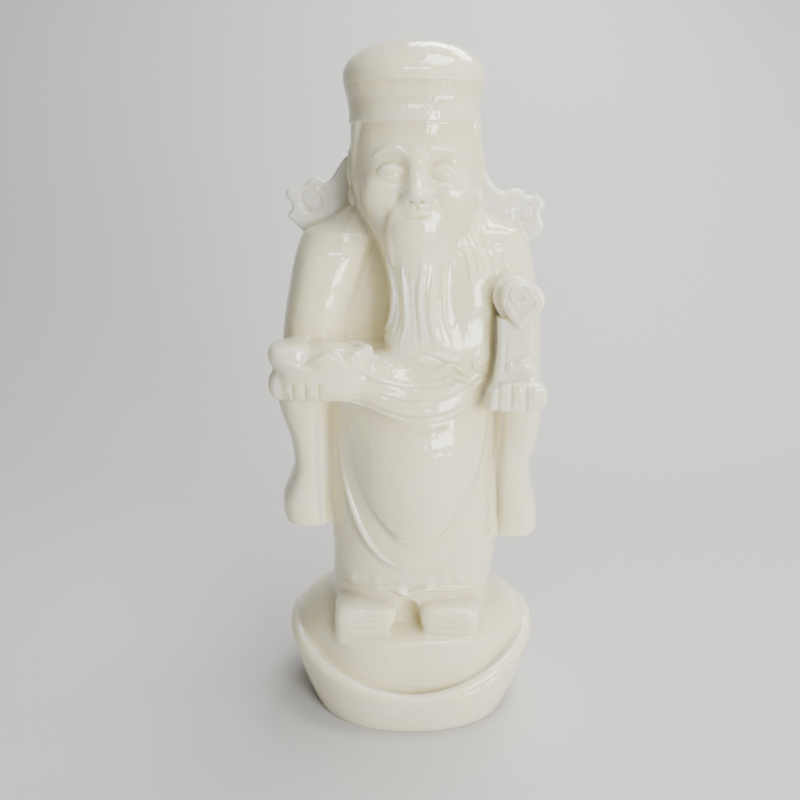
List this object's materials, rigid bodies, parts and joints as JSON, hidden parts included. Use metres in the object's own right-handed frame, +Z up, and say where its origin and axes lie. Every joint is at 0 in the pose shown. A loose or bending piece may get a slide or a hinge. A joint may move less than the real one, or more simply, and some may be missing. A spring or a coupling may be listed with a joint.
{
  "type": "jade god of wealth statue",
  "caption": "Carved white jade statue of a bearded god of wealth in robe and hat, holding an ingot and a ruyi sceptre, standing on a boat-shaped ingot base.",
  "frame": {"origin": "middle of the flat underside of the ingot base, on the surface that the statue stands on", "axes": "+Z up the statue's height, -Y the way the figure faces, +X to the viewer's right as the viewer faces it"},
  "size_m": [0.1185, 0.099, 0.2998],
  "materials": {
    "white_jade": "polished white jade, slightly translucent, with a warm cream tone in the thick parts and cool white thin edges"
  },
  "bodies": {
    "root": {"jade_statue": "white_jade"}
  },
  "joints": []
}
